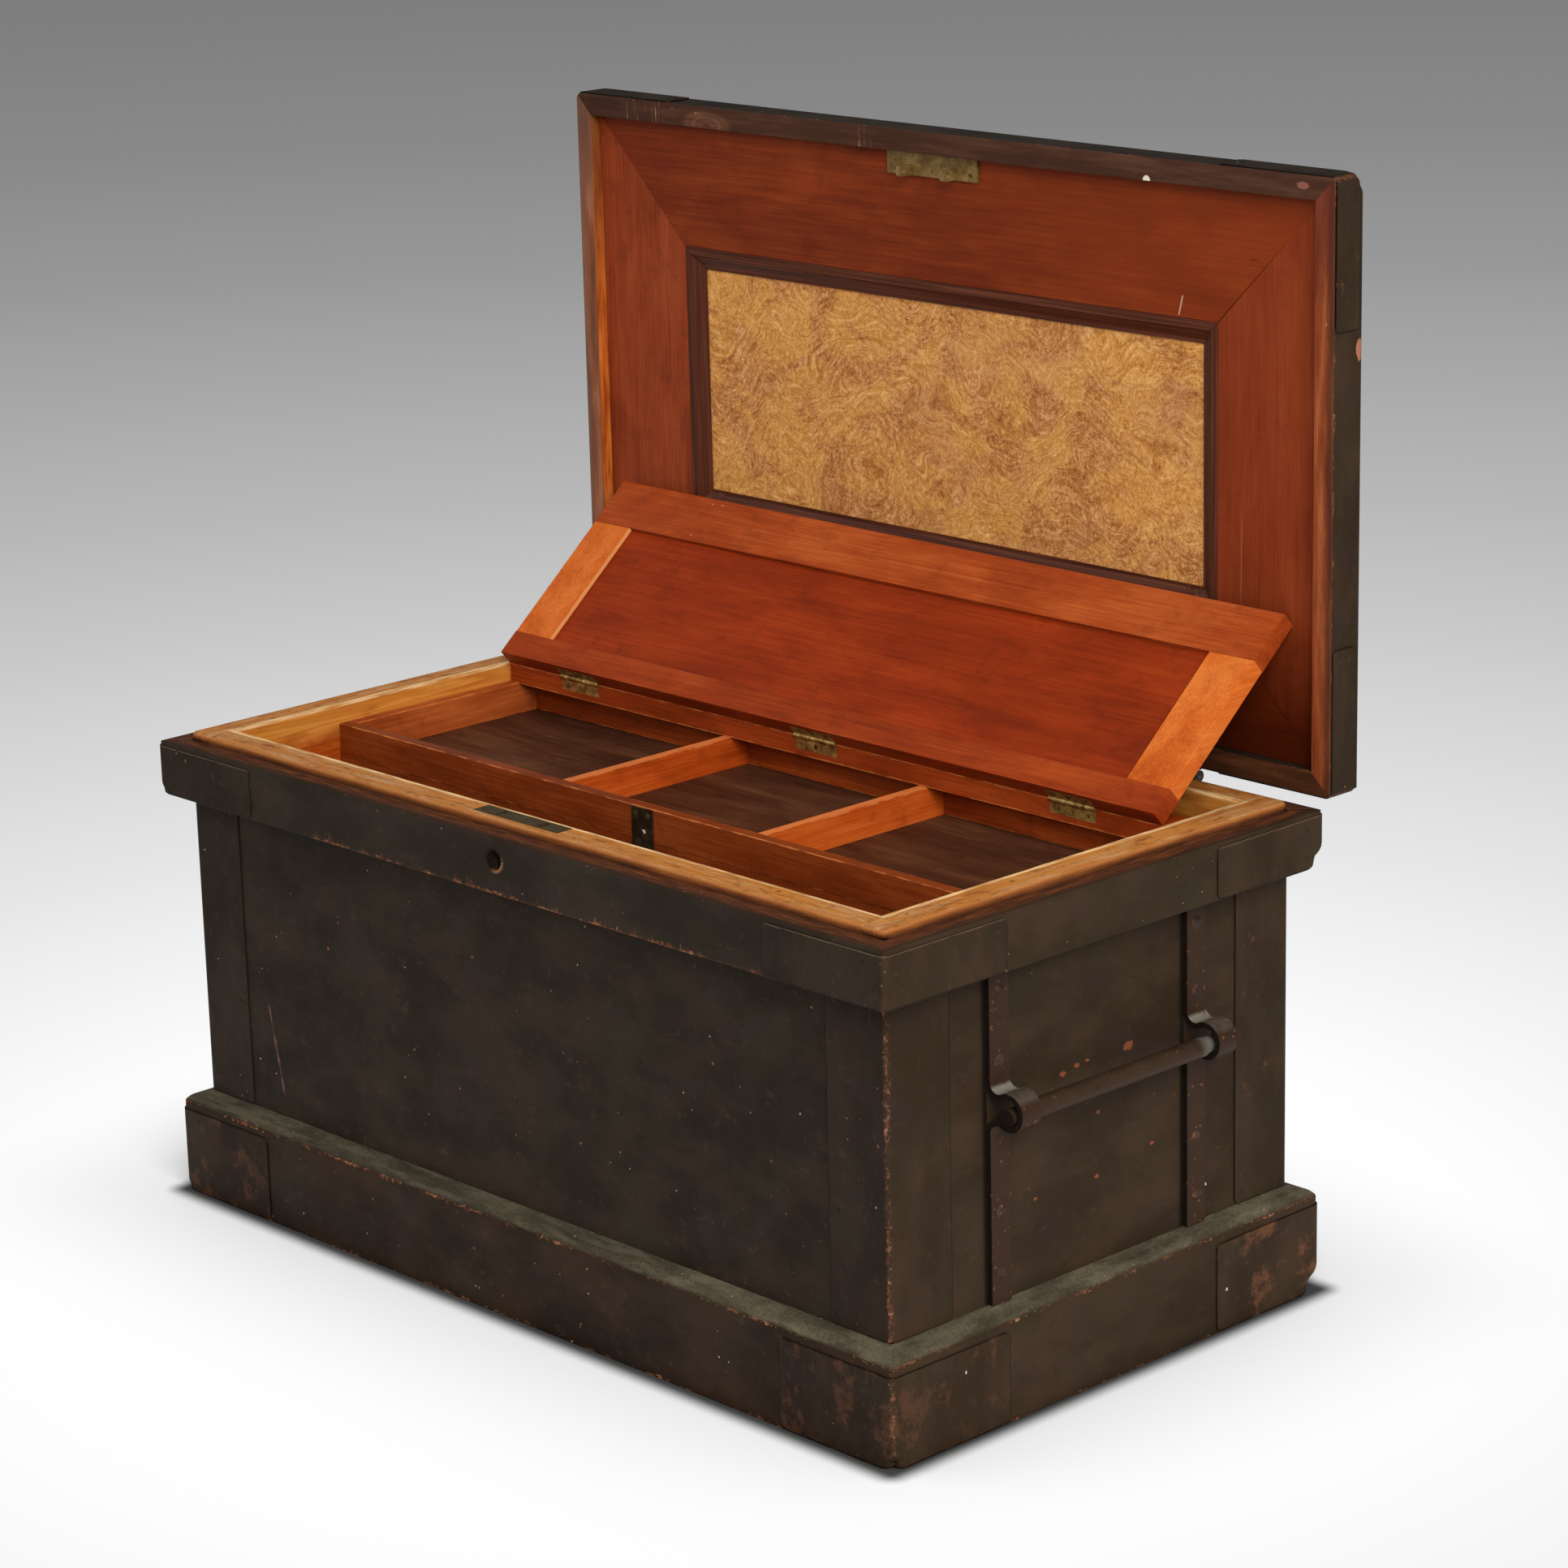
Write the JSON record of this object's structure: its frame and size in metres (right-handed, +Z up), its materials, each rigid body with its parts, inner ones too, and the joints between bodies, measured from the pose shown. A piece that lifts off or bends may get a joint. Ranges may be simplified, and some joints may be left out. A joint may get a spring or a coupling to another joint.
{
  "type": "carpenter's tool chest",
  "caption": "Dark painted joiner's tool chest with raised lid, lined with a burr panel, a sliding till with a hinged flap, iron corner plates and a lifting bar at each end.",
  "frame": {"origin": "on the floor, under the middle of the carcass", "axes": "+X to the right along the front, -Y out of the front, +Z up"},
  "size_m": [0.927, 0.55, 0.9235],
  "materials": {
    "painted_pine": "old dark oil paint, scuffed, worn to bare wood at the arrises; carcass boards are bare and honey coloured inside and on the lip",
    "bare_pine": "unfinished softwood, aged",
    "mahogany": "oiled and waxed red-brown hardwood, satin",
    "burr_veneer": "polished burr veneer, golden with brown eyes",
    "dark_moulding": "dark purple-brown polished moulding",
    "sheet_iron": "thin sheet iron under old dark paint, rubbed and lightly rusted",
    "wrought_iron": "forged iron under old dark paint with rust spots",
    "steel": "dull old steel",
    "brass": "aged brass, dull and brown"
  },
  "bodies": {
    "chest": {"band_back": "painted_pine", "band_corner_plates": "sheet_iron", "band_front": "painted_pine", "band_left": "painted_pine", "band_right": "painted_pine", "bottom_boards": "bare_pine", "carcass_back": "painted_pine", "carcass_front": "painted_pine", "carcass_left": "painted_pine", "carcass_right": "painted_pine", "chest_screws": "steel", "corner_irons": "sheet_iron", "handle_straps_left": "wrought_iron", "handle_straps_right": "wrought_iron", "lid_hinge_chest_leaves": "wrought_iron", "lid_hinge_pins": "wrought_iron", "lock_case": "wrought_iron", "lock_selvage": "brass", "plate_nails": "sheet_iron", "plinth_back": "painted_pine", "plinth_corner_plates": "sheet_iron", "plinth_front": "painted_pine", "plinth_left": "painted_pine", "plinth_right": "painted_pine", "strap_bolts": "wrought_iron", "till_runner_left": "bare_pine", "till_runner_right": "bare_pine"},
    "lid": {"lid_skirt_front": "painted_pine", "lid_skirt_back": "painted_pine", "lid_skirt_left": "painted_pine", "lid_skirt_right": "painted_pine", "lid_top_boards": "painted_pine", "lid_frame_rails": "mahogany", "lid_frame_stiles": "mahogany", "lid_moulding": "dark_moulding", "burr_panel": "burr_veneer", "lid_link_plate": "brass", "lid_screws": "steel", "lid_hinge_lid_leaves": "wrought_iron", "lid_corner_plates": "sheet_iron", "lid_nails": "sheet_iron"},
    "till": {"till_front": "mahogany", "till_back": "mahogany", "till_end_left": "mahogany", "till_end_right": "mahogany", "till_bottom": "mahogany", "till_dividers": "mahogany", "till_hinge_rail": "mahogany", "till_lock_plate": "steel", "till_screws": "brass", "flap_hinge_till_leaves": "brass", "flap_hinge_pins": "brass"},
    "till_flap": {"flap_rails": "mahogany", "flap_stiles": "mahogany", "flap_panel": "mahogany", "flap_hinge_flap_leaves": "brass", "flap_screws": "brass"},
    "handle_bar_left": {"handle_bar_left": "wrought_iron"},
    "handle_bar_right": {"handle_bar_right": "wrought_iron"},
    "lock_bolt": {"lock_bolt": "steel"}
  },
  "joints": [
    {"name": "lid_hinge", "type": "hinge", "parent": "chest", "child": "lid", "pos_m": [0, 0.2565, 0.4147], "axis": [1, 0, 0], "range_deg": [0, 90]},
    {"name": "till_slide", "type": "slide", "parent": "chest", "child": "till", "axis": [0, -1, 0], "range_m": [0, 0.1065]},
    {"name": "flap_hinge", "type": "hinge", "parent": "till", "child": "till_flap", "pos_m": [0, 0.1102, 0.4217], "axis": [1, 0, 0], "range_deg": [0, 139.67]},
    {"name": "left_bar_turn", "type": "hinge", "parent": "chest", "child": "handle_bar_left", "pos_m": [-0.448, 0, 0.2523], "axis": [0, 1, 0], "continuous": true},
    {"name": "right_bar_turn", "type": "hinge", "parent": "chest", "child": "handle_bar_right", "pos_m": [0.448, 0, 0.2523], "axis": [0, 1, 0], "continuous": true},
    {"name": "lock_bolt_slide", "type": "slide", "parent": "chest", "child": "lock_bolt", "axis": [1, 0, 0], "range_m": [0, 0.008]}
  ],
  "couplings": [
    {"joint": "flap_hinge", "follows": "lid_hinge", "ratio": 1.5519}
  ]
}
